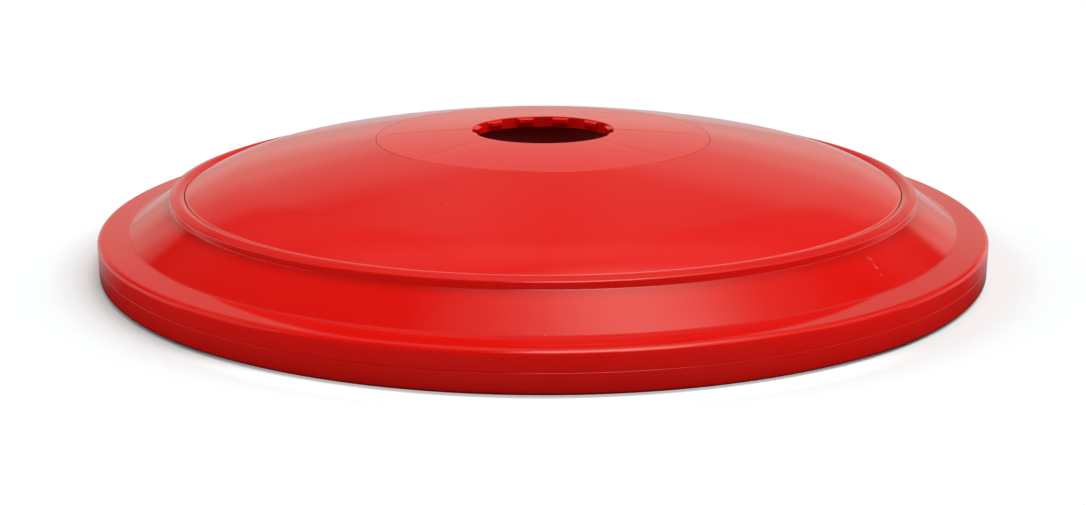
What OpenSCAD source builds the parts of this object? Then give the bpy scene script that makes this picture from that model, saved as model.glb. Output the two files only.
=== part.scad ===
// Low round marker disc with a toothed centre hole and a socket for a pole.
// Lengths are in millimetres. The floor is z = 0 and the pole's axis is the Z axis.

/* [Rim and flange] */
// Diameter across the rim
rim_d = 200; // [190:1:215]
// Height of the rim
rim_h = 8.3; // [7.8:0.1:9.2]
// Height from the rim's lower edge to the seam
seam_h = 4.25; // [3.9:0.05:4.6]
// Rounding of the rim's upper edge
rim_round = 1.2; // [0.6:0.1:1.8]
// Rounding of the rim's lower edge
foot_round = 0.7; // [0.3:0.1:1]
// Half width of the fine V along the seam
seam_bevel = 0.25; // [0.1:0.05:0.4]
// Width of the flange, with the rounding
flange_w = 6.8; // [5.8:0.1:8]
// Fall of the flange from the skirt to the rim
flange_fall = 0.35; // [0.2:0.05:0.6]
// Wall of the moulded shells
wall = 2.6; // [2.2:0.1:2.9]

/* [Skirt and bead] */
// Width of the sloping skirt in plan
skirt_w = 8.9; // [8:0.1:11]
// Rise of the sloping skirt
skirt_rise = 5.85; // [5.2:0.05:6.8]
// Width of the bead in plan
bead_w = 3.4; // [3.2:0.1:4.4]
// Rise of the bead above the skirt
bead_h = 2; // [1.8:0.1:2.4]
// Rounding of the bead's shoulder
bead_round = 1.3; // [0.9:0.1:1.5]
// Drop from the bead's crest to the edge of the dome
bead_lip = 0.55; // [0.4:0.05:0.8]
// Width of the ledge that carries the dome
ledge_w = 4; // [3:0.1:5]
// Thickness of that ledge
ledge_t = 2; // [1.6:0.1:2.4]

/* [Dome] */
// Rise of the dome from its edge to the centre plate
dome_rise = 10.05; // [8.5:0.05:11.5]
// Radius of the dome's main arc
dome_arc_r = 500; // [300:10:900]
// Width in plan of the shoulder where the dome turns down to the bead
shoulder_w = 13; // [10:0.5:16]
// Height of the shoulder's start above the straight line from the crease to the groove
shoulder_up = 1.6; // [1.3:0.05:1.9]
// Rounding, as a bevel, of the edges at the crease and the groove
edge_bevel = 0.35; // [0.2:0.05:0.5]
// Number of ribs under the dome for each screw
dome_ribs_a_screw = 2; // [1:1:3]

/* [Centre plate] */
// Diameter of the groove round the centre plate
plate_d = 76.3; // [72:0.1:84]
// Rise of the plate from the groove to the hole
plate_rise = 1.5; // [1.1:0.1:2]
// Bevel on the upper edge of the hole
hole_bevel = 0.2; // [0.1:0.05:0.4]
// Number of teeth round the hole
tooth_n = 12; // [8:1:16]
// How far the teeth stand out into the hole
tooth_h = 0.95; // [0.7:0.05:1.4]
// Share of the pitch that a tooth takes
tooth_share = 0.42; // [0.3:0.01:0.6]
// Step from the plate down to the teeth
tooth_step = 0.25; // [0.2:0.05:0.4]
// Thickness of a tooth at its tip
tooth_t = 0.8; // [0.6:0.1:1]
// Number of ribs, and of snap hooks, under the plate
hook_n = 8; // [4:1:10]
// Width of a snap hook
hook_w = 7; // [5:0.5:9]
// How far the plate's collar reaches down round the socket
collar_lap = 2; // [1:0.5:3]

/* [Pole] */
// Diameter of the pole that the disc stands
pole_d = 30; // [25:0.5:31]
// Clearance round the pole in its socket
pole_gap = 0.2; // [0.1:0.05:0.4]
// Clearance round the pole at the teeth
tooth_gap = 0.25; // [0.2:0.05:0.6]
// Wall of the socket
socket_wall = 3; // [2.4:0.1:4]
// Height of the socket above the pan's floor
socket_h = 17.4; // [14:0.1:18.5]
// Bevel that leads the pole in
lead_in = 1; // [0.5:0.1:1.4]

/* [Base pan] */
// Thickness of the floor
floor_t = 2.6; // [2.4:0.1:3]
// Thickness of walls and ribs inside the pan
rib_t = 1.6; // [1.2:0.1:2]
// Number of ribs in the pan for each screw
pan_ribs_a_screw = 2; // [1:1:3]
// Height of the ballast walls above the floor
tray_h = 5.9; // [4:0.1:7]

/* [Ballast] */
// Width of the ballast ring in plan
ballast_w = 21; // [16:0.5:24]
// Height of the ballast ring
ballast_h = 7.8; // [5:0.1:8.2]
// Bevel on the ballast ring's edges
ballast_bevel = 0.8; // [0.4:0.1:1.2]

/* [Screws] */
// Number of screws
screw_n = 6; // [4:2:8]
// Diameter of a screw's shank
screw_d = 2.8; // [2.4:0.1:3.2]
// Diameter of a screw's head
screw_head_d = 6.6; // [5.8:0.1:7]
// Length of a screw
screw_l = 10; // [8:0.5:12]
// Diameter of a boss
boss_d = 8; // [7:0.1:9]

/* [Rubber feet] */
// Number of feet
pad_n = 6; // [3:1:8]
// Diameter of a foot
pad_d = 13; // [10:0.5:14]
// Thickness of a foot
pad_t = 1.8; // [1.4:0.1:2]
// How far the feet stand below the rim
pad_proud = 0.5; // [0.3:0.1:0.8]

/* [Clearances] */
// Gap between shells that seat in each other
fit_gap = 0.2; // [0.1:0.05:0.3]
// Gap between pieces that only pass each other
free_gap = 0.3; // [0.2:0.05:0.5]

/* [Hidden] */
// How far every cut runs past the faces that it opens
over = 1;
shell_red = [0.80, 0.07, 0.06];
pan_red = [0.68, 0.05, 0.04];
ballast_grey = [0.34, 0.34, 0.35];
screw_steel = [0.72, 0.73, 0.75];
pad_black = [0.09, 0.09, 0.10];

// Heights, from the floor up
z_pan = pad_proud;
z_floor = z_pan + floor_t;
z_seam = z_pan + seam_h;
z_rim = z_pan + rim_h;
z_flange = z_rim + flange_fall;
z_bead = z_flange + skirt_rise;
z_crest = z_bead + bead_h;
z_edge = z_crest - bead_lip;
z_plate = z_edge + dome_rise;
z_hole = z_plate + plate_rise;
z_ballast = z_floor + ballast_h;
z_socket = z_floor + socket_h;

// Radii, from the rim in
rim_r = rim_d / 2;
cone_r = rim_r - flange_w;
bead_r = cone_r - skirt_w;
dome_r = bead_r - bead_w;
ledge_r = dome_r - ledge_w;
plate_r = plate_d / 2;
bore_r = pole_d / 2 + pole_gap;
socket_r = bore_r + socket_wall;
tip_r = pole_d / 2 + tooth_gap;
hole_r = tip_r + tooth_h;
collar_r = socket_r + free_gap;

// Slope of the flange
flange_deg = atan(flange_fall / flange_w);

// Slope of the skirt, and its wall measured straight up
skirt_deg = atan(skirt_rise / skirt_w);
skirt_up = wall / cos(skirt_deg);

// The bead's shoulder is a circle, touched by lines from the crease and from the skirt
bead_side = bead_round * 0.11;
bead_c = [bead_r - bead_side - bead_round, z_crest - bead_round];
bead_lip_p = [dome_r + edge_bevel, z_edge + edge_bevel / 2];

// Seats that carry the dome and the centre plate
seat_drop = wall * 1.15;
z_seat = z_edge - seat_drop;
z_ledge = z_seat - ledge_t;
z_plate_seat = z_plate - seat_drop;
z_plate_ledge = z_plate_seat - ledge_t;
plate_ledge_r = plate_r - ledge_w;

// The dome's main arc runs from the groove to the shoulder, and a second arc, which touches it
// there, from the shoulder to the crease
dome_edge_r = dome_r - fit_gap;
shoulder_z = z_edge + dome_rise * shoulder_w / (dome_r - plate_r) + shoulder_up;
shoulder_p = [dome_r - shoulder_w, shoulder_z];
dome_c = arc_centre([plate_r, z_plate], shoulder_p, dome_arc_r);
shoulder_n = (shoulder_p - dome_c) / dome_arc_r;
shoulder_d = [dome_r, z_edge] - shoulder_p;
shoulder_r = -(shoulder_d * shoulder_d) / (2 * shoulder_d * shoulder_n);
shoulder_c = shoulder_p - shoulder_r * shoulder_n;

// Arc of the centre plate
plate_below = (plate_r * plate_r - hole_r * hole_r - plate_rise * plate_rise) / (2 * plate_rise);
plate_arc_r = norm([plate_r, plate_below]);
plate_c = [0, z_plate - plate_below];
plate_edge_r = plate_r - fit_gap;

// Lip that centres the dome inside its ledge, and the bosses beside it
lip_t = wall * 0.75;
lip_h = ledge_t * 0.75;
lip_r = ledge_r - fit_gap - lip_t;
boss_sink = boss_d / 16;
boss_c_r = lip_r - boss_d / 2 + boss_sink;
thread_gap = screw_d / 28;
pilot_r = screw_d / 2 + thread_gap;
head_h = (screw_head_d - screw_d) / 2;
dome_rib_n = screw_n * dome_ribs_a_screw;
pan_rib_n = screw_n * pan_ribs_a_screw;

// Tray for the ballast
tray_out_r = boss_c_r - boss_d / 2 - free_gap;
ballast_out_r = tray_out_r - rib_t - free_gap;
ballast_in_r = ballast_out_r - ballast_w;
tray_in_r = ballast_in_r - free_gap - rib_t;
z_tray = z_floor + tray_h;
z_hold = z_ballast + free_gap;

// Lap of the pan inside the skirt
lap_r = rim_r - wall - fit_gap;
lap_t = rib_t;
z_lap = z_rim - wall - free_gap;

// Rubber feet
pad_c_r = lap_r - lap_t - pad_d / 2;
recess_h = pad_t - pad_proud;

// Centre of the circle of radius r through a and b, on the right-hand side going from a to b
function arc_centre(a, b, r) =
    let (d = b - a, l = norm(d), h = sqrt(r * r - l * l / 4))
    (a + b) / 2 + h / l * [d.y, -d.x];
// Height at radius x on the circle of radius r about c
function arc_z(c, r, x) = c.y + sqrt(r * r - (x - c.x) * (x - c.x));
// Angle on the circle of radius r about c of the point that a line from p touches, on side s
function touch_deg(p, c, r, s) = atan2(p.y - c.y, p.x - c.x) + s * acos(r / norm(p - c));
// Point at an angle on the circle of radius r about c
function on_circle(c, r, deg) = c + r * [cos(deg), sin(deg)];

// Waste outside a corner that is rounded to radius r about the origin, between two angles
module corner_waste(r, low = 0, high = 90) {
    far = r + over;
    mid = (low + high) / 2;
    difference() {
        polygon([
            [0, 0],
            on_circle([0, 0], far, low),
            on_circle([0, 0], far / cos(mid - low), mid),
            on_circle([0, 0], far, high)
        ]);
        circle(r, $fn = 64);
    }
}

// Waste at the end of an arc about c, where it meets an upright face at x, bevelled by b;
// s is 1 when the face looks away from the axis and -1 when it looks towards it
module edge_waste(c, r, x, b, s) {
    p = [x - s * b, arc_z(c, r, x - s * b)];
    q = [x, arc_z(c, r, x) - b];
    polygon([p, q, q + [s * over, 0], [x + s * over, p.y + over], p + [0, over]]);
}

module turned(deg = 360) {
    rotate([0, 0, -deg / 2]) rotate_extrude(angle = deg, $fn = 240) children();
}

module ring_of(n, first = 0) {
    for (i = [0:n - 1]) rotate([0, 0, first + i * 360 / n]) children();
}

// A rib of thickness t whose outline is drawn in x outwards and y upwards
module radial_rib(t) {
    rotate([90, 0, 0]) translate([0, 0, -t / 2]) linear_extrude(t) children();
}

// Centre plate

module plate_shell() {
    difference() {
        translate(plate_c) circle(plate_arc_r, $fn = 720);
        translate(plate_c) circle(plate_arc_r - wall, $fn = 720);
    }
}

module plate_section() {
    difference() {
        union() {
            intersection() {
                plate_shell();
                translate([hole_r, z_plate_ledge]) square([plate_edge_r - hole_r, z_hole]);
            }
            intersection() {
                translate(plate_c) circle(plate_arc_r, $fn = 720);
                translate([plate_ledge_r, z_plate_seat]) square([plate_edge_r - plate_ledge_r, z_hole]);
            }
            translate([collar_r, z_socket - collar_lap])
                square([rib_t, z_plate - z_socket + collar_lap]);
        }
        edge_waste(plate_c, plate_arc_r, plate_edge_r, edge_bevel, 1);
        edge_waste(plate_c, plate_arc_r, hole_r, hole_bevel, -1);
    }
}

// A tooth falls from the step to its tip, slopes back under it and is rooted in the hole's wall
module tooth_section() {
    root = wall / 6;
    fall = 0.3;
    z_step = z_hole - tooth_step;
    z_tip = z_step - tooth_h * fall;
    polygon([
        [tip_r, z_tip - tooth_t],
        [hole_r + root, z_tip - tooth_t - (tooth_h + root) / 2],
        [hole_r + root, z_step + root * fall],
        [tip_r, z_tip]
    ]);
}

hook_t = wall * 0.6;
hook_r = plate_ledge_r - free_gap;
hook_catch = ledge_t / 2;
z_hook = z_plate_ledge - free_gap;
z_hook_root = z_plate - wall / 2;

module hook_section() {
    polygon([
        [hook_r - hook_t, z_hook_root],
        [hook_r - hook_t, z_hook - 2 * hook_catch],
        [hook_r, z_hook - 2 * hook_catch],
        [hook_r + hook_catch, z_hook - hook_catch],
        [hook_r + hook_catch, z_hook],
        [hook_r, z_hook],
        [hook_r, z_hook_root]
    ]);
}

module plate_rib_section() {
    intersection() {
        translate(plate_c) circle(plate_arc_r - wall / 2, $fn = 720);
        translate([collar_r + rib_t / 2, z_plate_seat])
            square([plate_ledge_r - collar_r + rib_t / 2, z_hole]);
    }
}

module centre_plate() {
    hook_deg = 2 * asin(hook_w / 2 / hook_r);
    tooth_deg = tooth_share * 360 / tooth_n;
    color(shell_red) union() {
        turned() plate_section();
        ring_of(tooth_n, 90 + 180 / tooth_n) turned(tooth_deg) tooth_section();
        ring_of(hook_n, 180 / hook_n) turned(hook_deg) hook_section();
        ring_of(hook_n) radial_rib(rib_t) plate_rib_section();
    }
}

// Dome panel

// Waste between the dome's main arc and the arc of its shoulder
module shoulder_waste(down) {
    low = shoulder_p - (wall + over) * shoulder_n;
    high = shoulder_p + over * shoulder_n;
    difference() {
        polygon([low, high, [dome_r + over, high.y], [dome_r + over, z_ledge]]);
        translate(shoulder_c) circle(shoulder_r - down, $fn = 720);
    }
}

// All that lies at least so far down below the dome's top
module under_dome(down = 0) {
    difference() {
        translate(dome_c) circle(dome_arc_r - down, $fn = 720);
        shoulder_waste(down);
    }
}

module dome_section() {
    difference() {
        intersection() {
            under_dome();
            union() {
                difference() {
                    translate([plate_r, z_seat]) square([dome_edge_r - plate_r, z_plate]);
                    under_dome(wall);
                }
                translate([ledge_r - fit_gap, z_seat]) square([dome_edge_r - ledge_r + fit_gap, z_plate]);
                translate([lip_r, z_seat - lip_h]) square([lip_t, z_plate]);
                translate([plate_r, z_plate_ledge]) square([wall, z_plate]);
                translate([plate_ledge_r, z_plate_ledge]) square([ledge_w + wall, ledge_t]);
            }
        }
        edge_waste(shoulder_c, shoulder_r, dome_edge_r, edge_bevel, 1);
        edge_waste(dome_c, dome_arc_r, plate_r, edge_bevel, -1);
    }
}

// Ribs reach down to just above the ballast and hold it in its tray
module dome_rib_section() {
    intersection() {
        under_dome(wall / 2);
        translate([plate_r + wall / 2, z_hold]) square([lip_r - plate_r, z_plate]);
    }
}

// Boss that stands on the pan's floor
module boss() {
    intersection() {
        translate([boss_c_r, 0, z_floor]) cylinder(h = z_edge, d = boss_d, $fn = 48);
        turned() intersection() {
            under_dome(wall / 2);
            square([dome_r, z_plate]);
        }
    }
}

module dome_panel() {
    color(shell_red) difference() {
        union() {
            turned() dome_section();
            ring_of(screw_n) boss();
            ring_of(dome_rib_n) radial_rib(rib_t) dome_rib_section();
        }
        ring_of(screw_n) translate([boss_c_r, 0, z_floor - over])
            cylinder(h = screw_l - floor_t + over + thread_gap, r = pilot_r, $fn = 32);
    }
}

// Skirt ring

module skirt_section() {
    lip_deg = touch_deg(bead_lip_p, bead_c, bead_round, -1);
    foot_deg = touch_deg([bead_r, z_bead], bead_c, bead_round, 1);
    under_r = cone_r - (z_ledge - z_flange + skirt_up) / tan(skirt_deg);
    difference() {
        polygon([
            [dome_r, bead_lip_p.y - edge_bevel],
            bead_lip_p,
            on_circle(bead_c, bead_round / cos((lip_deg - foot_deg) / 2), (lip_deg + foot_deg) / 2),
            [bead_r, z_bead],
            [cone_r, z_flange],
            [rim_r, z_rim],
            [rim_r, z_seam + seam_bevel],
            [rim_r - seam_bevel, z_seam],
            [rim_r - wall, z_seam],
            [rim_r - wall, z_rim - wall],
            [cone_r - wall * tan(skirt_deg / 2), z_flange - wall],
            [under_r, z_ledge],
            [ledge_r, z_ledge],
            [ledge_r, z_seat],
            [dome_r, z_seat]
        ]);
        translate(bead_c) corner_waste(bead_round, foot_deg, lip_deg);
        translate([rim_r - rim_round, z_rim + rim_round * tan(flange_deg) - rim_round / cos(flange_deg)])
            corner_waste(rim_round, 0, 90 - flange_deg);
    }
}

module skirt_ring() {
    color(shell_red) turned() skirt_section();
}

// Base pan

module pan_section() {
    difference() {
        union() {
            translate([0, z_pan]) square([rim_r, floor_t]);
            translate([lap_r - lap_t, z_pan]) square([rim_r - lap_r + lap_t, seam_h]);
            translate([lap_r - lap_t, z_pan]) square([lap_t, z_lap - z_pan]);
            translate([tray_out_r - rib_t, z_pan]) square([rib_t, z_tray - z_pan]);
            translate([tray_in_r, z_pan]) square([rib_t, z_tray - z_pan]);
        }
        translate([rim_r - foot_round, z_pan + foot_round]) mirror([0, 1]) corner_waste(foot_round);
        polygon([
            [rim_r + over, z_seam - seam_bevel - over],
            [rim_r, z_seam - seam_bevel],
            [rim_r - seam_bevel, z_seam],
            [rim_r - seam_bevel, z_seam + over],
            [rim_r + over, z_seam + over]
        ]);
    }
}

// Gusset between the socket and the inner ballast wall
module socket_rib_section() {
    polygon([
        [bore_r + socket_wall / 2, z_pan + floor_t / 2],
        [tray_in_r + rib_t / 2, z_pan + floor_t / 2],
        [tray_in_r + rib_t / 2, z_tray - rib_t],
        [bore_r + socket_wall / 2, z_socket - collar_lap - free_gap]
    ]);
}

// Rib between the outer ballast wall and the lap, kept under the slope of the skirt
module rim_rib_section() {
    low = z_floor + (z_lap - z_floor) / 2;
    polygon([
        [tray_out_r - rib_t / 2, z_pan + floor_t / 2],
        [lap_r - lap_t / 2, z_pan + floor_t / 2],
        [lap_r - lap_t / 2, low],
        [bead_r, z_ledge - lip_h - ledge_t / 2],
        [tray_out_r - rib_t / 2, z_ledge - lip_h - ledge_t / 2]
    ]);
}

module base_pan() {
    color(pan_red) difference() {
        union() {
            turned() pan_section();
            translate([0, 0, z_pan]) cylinder(h = z_socket - z_pan, r = socket_r, $fn = 120);
            ring_of(pan_rib_n, 180 / pan_rib_n) radial_rib(rib_t) socket_rib_section();
            ring_of(pan_rib_n, 180 / pan_rib_n) radial_rib(rib_t) rim_rib_section();
        }
        translate([0, 0, z_floor]) cylinder(h = z_socket, r = bore_r, $fn = 120);
        translate([0, 0, z_socket - lead_in])
            cylinder(h = lead_in + over, r1 = bore_r, r2 = bore_r + lead_in + over, $fn = 120);
        ring_of(screw_n) translate([boss_c_r, 0, z_pan]) {
            translate([0, 0, -over]) cylinder(h = floor_t + 2 * over, r = screw_d / 2 + free_gap, $fn = 32);
            translate([0, 0, -over])
                cylinder(
                    h = head_h + free_gap + over,
                    r1 = screw_head_d / 2 + free_gap + over,
                    r2 = screw_d / 2 + free_gap,
                    $fn = 48
                );
        }
        ring_of(pad_n, 180 / pad_n) translate([pad_c_r, 0, z_pan - over])
            cylinder(h = recess_h + over, d = pad_d + 2 * fit_gap, $fn = 64);
    }
}

// Ballast

module ballast_section() {
    b = ballast_bevel;
    polygon([
        [ballast_in_r, z_floor + b],
        [ballast_in_r + b, z_floor],
        [ballast_out_r - b, z_floor],
        [ballast_out_r, z_floor + b],
        [ballast_out_r, z_ballast - b],
        [ballast_out_r - b, z_ballast],
        [ballast_in_r + b, z_ballast],
        [ballast_in_r, z_ballast - b]
    ]);
}

module ballast_ring() {
    color(ballast_grey) turned() ballast_section();
}

// Screws, heads down and flush with the underside of the pan

module screw_section() {
    polygon([
        [0, 0],
        [screw_head_d / 2, 0],
        [screw_d / 2, head_h],
        [screw_d / 2, screw_l - screw_d / 2],
        [screw_d / 6, screw_l],
        [0, screw_l]
    ]);
}

module base_screws() {
    slot_l = screw_head_d * 0.6;
    slot_w = screw_head_d * 0.14;
    slot_h = screw_head_d * 0.2;
    color(screw_steel) ring_of(screw_n) translate([boss_c_r, 0, z_pan]) difference() {
        rotate_extrude($fn = 48) screw_section();
        for (a = [0, 90]) rotate([0, 0, a])
            translate([-slot_l / 2, -slot_w / 2, -over]) cube([slot_l, slot_w, slot_h + over]);
    }
}

// Rubber feet

module foot_pad(i) {
    bevel = pad_proud / 2;
    color(pad_black) rotate([0, 0, (i - 0.5) * 360 / pad_n]) translate([pad_c_r, 0, 0])
        rotate_extrude($fn = 64) polygon([
            [0, 0],
            [pad_d / 2 - bevel, 0],
            [pad_d / 2, bevel],
            [pad_d / 2, pad_t],
            [0, pad_t]
        ]);
}

centre_plate();
dome_panel();
skirt_ring();
base_pan();
ballast_ring();
base_screws();
for (i = [1:pad_n]) foot_pad(i);
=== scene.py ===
"""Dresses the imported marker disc: turned shells, rubber feet, finishes, floor, light and camera."""

import bmesh
import bpy
import numpy as np
from mathutils.geometry import delaunay_2d_cdt
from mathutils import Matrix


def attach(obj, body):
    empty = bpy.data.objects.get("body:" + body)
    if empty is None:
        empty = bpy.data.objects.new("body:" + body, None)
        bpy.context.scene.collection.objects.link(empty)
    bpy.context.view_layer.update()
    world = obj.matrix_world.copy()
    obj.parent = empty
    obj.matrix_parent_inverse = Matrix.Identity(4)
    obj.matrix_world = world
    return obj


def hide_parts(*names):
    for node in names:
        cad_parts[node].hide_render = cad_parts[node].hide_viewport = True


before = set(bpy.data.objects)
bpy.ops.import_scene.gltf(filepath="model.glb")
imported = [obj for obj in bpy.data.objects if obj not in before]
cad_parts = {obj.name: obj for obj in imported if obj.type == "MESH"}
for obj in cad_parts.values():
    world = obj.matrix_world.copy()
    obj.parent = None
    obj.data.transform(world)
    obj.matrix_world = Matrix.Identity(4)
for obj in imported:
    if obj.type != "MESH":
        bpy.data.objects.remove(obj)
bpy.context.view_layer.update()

# Sizes of the disc, in millimetres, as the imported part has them
MM = 0.001
RIM_R = 100.0
CONE_R = 93.2
BEAD_R = 84.3
DOME_R = 80.9
LEDGE_R = 76.9
PLATE_R = 38.15
SOCKET_R = 18.2
BORE_R = 15.2
COLLAR_R = 18.5
HOLE_R = 16.2
TIP_R = 15.25
Z_PAN = 0.5
Z_FLOOR = 3.1
Z_SEAM = 4.75
Z_RIM = 8.8
Z_FLANGE = 9.15
Z_BEAD = 15.0
Z_CREST = 17.0
Z_EDGE = 16.45
Z_PLATE = 26.5
Z_HOLE = 28.0
Z_SEAT = 13.46
Z_LEDGE = 11.46
Z_PLATE_SEAT = 23.51
Z_PLATE_LEDGE = 21.51
Z_BALLAST = 10.9
Z_SOCKET = 20.5
Z_TRAY = 9.0
Z_LAP = 5.9
WALL = 2.6
RIB = 1.6
GAP = 0.2
FREE = 0.3
DOME_ARC_R = 500.0
SHOULDER_W = 13.0
SHOULDER_UP = 1.6
LEDGE_W = 4.0
LIP_R = 74.75
LIP_T = 1.95
LAP_R = 97.2
TRAY_OUT_R = 66.95
TRAY_IN_R = 42.15
BOSS_R = 4.0
BOSS_C_R = 71.25
PAD_C_R = 89.1
PAD_R = 6.5
PAD_T = 1.8
SEAM_V = 0.08
TEETH = 12
TOOTH_HALF = 0.42 * 180 / TEETH
TOOTH_T = 0.8
TOOTH_STEP = 0.25
TOOTH_LEAN = 0.3
TOOTH_BACK = 0.3
TOOTH_SOFT = 0.12
HOLE_SOFT = 0.21
HOLE_EDGE_W = 0.6
SEAM_OPEN = 0.06
GROOVE_SOFT = 0.15
CREASE_SOFT = 0.3
SCREW_R = 1.7
SCREW_HEAD_R = 3.6
PILOT_R = 1.5
PILOT_UP = 7.5
HOOK_W = 7.0
CATCH = 1.0
FOOT_RINGS = (1.6, 3.1, 4.6)
FOOT_RING_DEPTH = 0.25

# Grooves on the plate, one on each of four radii: first radius in eighths of a turn, depth and half
# width
PLATE_LINES = [(0, 0.045, 0.16), (1, 0.03, 1.3)]

SIDES = 360
HOLE_SIDES = 48
FOOT_SIDES = 72
TURN = 2 * np.pi


# Outlines, as points (radius, height) in millimetres


def arc_centre(a, b, r):
    """Centre of the circle of radius r through a and b, on the right-hand side going from a to b."""
    a, b = np.array(a, float), np.array(b, float)
    d = b - a
    length = np.hypot(*d)
    lift = np.sqrt(r * r - length * length / 4)
    return (a + b) / 2 + lift / length * np.array([d[1], -d[0]])


def arc_z(centre, r, x):
    """Height at radius x on the circle of radius r about centre."""
    return centre[1] + np.sqrt(r * r - (np.asarray(x) - centre[0]) ** 2)


def on_circle(centre, r, angle):
    """Points at the given angles on a circle."""
    angle = np.atleast_1d(angle)
    return np.array(centre) + r * np.column_stack([np.cos(angle), np.sin(angle)])


def rounded(points, closed=True):
    """Outline from rows (radius, height, rounding). A rounded corner is an arc that touches both of
    its sides: it starts at rounding / tan(half the corner) from the corner, and its centre lies on
    the corner's bisector at rounding / sin(half the corner)."""
    rows = [tuple(p) + (0.0,) * (3 - len(p)) for p in points]
    out = []
    n = len(rows)
    for i, (x, z, r) in enumerate(rows):
        here = np.array([x, z])
        if r == 0 or (not closed and i in (0, n - 1)):
            out.append(here[None])
            continue
        back = np.array(rows[i - 1][:2]) - here
        ahead = np.array(rows[(i + 1) % n][:2]) - here
        back /= np.hypot(*back)
        ahead /= np.hypot(*ahead)
        half = np.arccos(np.clip(back @ ahead, -1, 1)) / 2
        middle = (back + ahead) / np.hypot(*(back + ahead))
        centre = here + middle * r / np.sin(half)
        start = here + back * r / np.tan(half) - centre
        end = here + ahead * r / np.tan(half) - centre
        a0, a1 = np.arctan2(start[1], start[0]), np.arctan2(end[1], end[0])
        a1 = a0 + (a1 - a0 + np.pi) % TURN - np.pi
        steps = max(3, int(np.ceil(abs(a1 - a0) / np.radians(9))))
        out.append(on_circle(centre, r, np.linspace(a0, a1, steps + 1)))
    return np.vstack(out)


def held(outline, closed=True, hold=0.12, longest=1.6):
    """The same outline with a point a short way in from both ends of each long side, so that
    flat sides shade flat right up to a rounded corner."""
    nxt = np.roll(outline, -1, axis=0)
    out = []
    for i, (a, b) in enumerate(zip(outline, nxt)):
        out.append(a)
        length = np.hypot(*(b - a))
        if length > longest and (closed or i < len(outline) - 1):
            out.append(a + (b - a) * hold / length)
            out.append(b + (a - b) * hold / length)
    return np.array(out)


# Surfaces, as (vertices in millimetres, faces)


def grid_faces(rows, cols, wrap_rows=True, wrap_cols=True):
    """Quads of a grid of points numbered row by row: (i, j), (i+1, j), (i+1, j+1), (i, j+1)."""
    i = np.arange(rows if wrap_rows else rows - 1)[:, None]
    j = np.arange(cols if wrap_cols else cols - 1)[None, :]
    i2, j2 = (i + 1) % rows, (j + 1) % cols
    quads = [i * cols + j, i2 * cols + j, i2 * cols + j2, i * cols + j2]
    return np.stack([np.broadcast_to(q, (len(i), j.shape[1])) for q in quads], axis=-1).reshape(-1, 4)


def turned(outline, closed=True, sides=SIDES, centre=(0.0, 0.0)):
    """An outline that runs anticlockwise, carried round an upright axis: the point (r, z) goes to
    (r cos t, r sin t, z)."""
    t = (np.arange(sides) * TURN / sides)[:, None]
    r, z = outline[None, :, 0], outline[None, :, 1]
    flat = [centre[0] + r * np.cos(t), centre[1] + r * np.sin(t), z + 0 * t]
    return np.stack(flat, axis=2).reshape(-1, 3), grid_faces(sides, len(outline), True, closed)


def turned_part(outline, middle, half, steps=8):
    """The same for an arc of the turn only, from middle - half to middle + half degrees, with an
    end face at each side."""
    t = np.radians(np.linspace(middle - half, middle + half, steps + 1))[:, None]
    r, z = outline[None, :, 0], outline[None, :, 1]
    verts = np.stack([r * np.cos(t), r * np.sin(t), z + 0 * t], axis=2).reshape(-1, 3)
    n = len(outline)
    faces = grid_faces(steps + 1, n, False, True).tolist()
    faces.append(list(range(n)))
    faces.append([steps * n + k for k in range(n)][::-1])
    return verts, faces


def radial_rib(outline, angle, thickness=RIB):
    """An upright plate along a radius: the outline (r, z), pushed half the thickness to each side."""
    c, s = np.cos(np.radians(angle)), np.sin(np.radians(angle))
    sides = []
    for side in (-thickness / 2, thickness / 2):
        r, z = outline[:, 0], outline[:, 1]
        sides.append(np.column_stack([r * c - side * s, r * s + side * c, z]))
    n = len(outline)
    faces = [[j, n + j, n + (j + 1) % n, (j + 1) % n] for j in range(n)]
    faces.append(list(range(n)))
    faces.append([n + k for k in range(n)][::-1])
    return np.vstack(sides), faces


def circle_points(centre, r, sides):
    """Points evenly spaced round a circle, from the X axis on."""
    t = np.arange(sides) * TURN / sides
    return np.column_stack([centre[0] + r * np.cos(t), centre[1] + r * np.sin(t)])


def flat_with_holes(z, outer, inner, holes, up):
    """A level face between two circles about the axis, with round holes in it: a triangulation that
    keeps every circle, less the triangles whose three corners lie on one hole's circle."""
    loops = [circle_points((0, 0), outer, SIDES)]
    if inner:
        loops.append(circle_points((0, 0), inner, SIDES))
    loops += [circle_points(c, r, sides) for c, r, sides in holes]
    points, edges, owner, start = [], [], [], 0
    for number, loop in enumerate(loops):
        points += [tuple(p) for p in loop]
        edges += [(start + k, start + (k + 1) % len(loop)) for k in range(len(loop))]
        owner += [number] * len(loop)
        start += len(loop)
    xy, tris = np.array(points), np.array(delaunay_2d_cdt(points, edges, [], 1, 1e-7)[2])
    own = np.array(owner)[tris]
    tris = tris[(own[:, 0] == 0) | (own[:, 0] != own[:, 1]) | (own[:, 0] != own[:, 2])]
    a, b, c = xy[tris[:, 0]], xy[tris[:, 1]], xy[tris[:, 2]]
    turn = (b - a)[:, 0] * (c - a)[:, 1] - (b - a)[:, 1] * (c - a)[:, 0]
    flip = (turn > 0) != up
    tris[flip] = tris[flip][:, ::-1]
    return np.column_stack([xy, np.full(len(xy), z)]), tris


def on_ring(radius, angle):
    """The point on a ring about the axis at an angle in degrees."""
    return radius * np.cos(np.radians(angle)), radius * np.sin(np.radians(angle))


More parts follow.
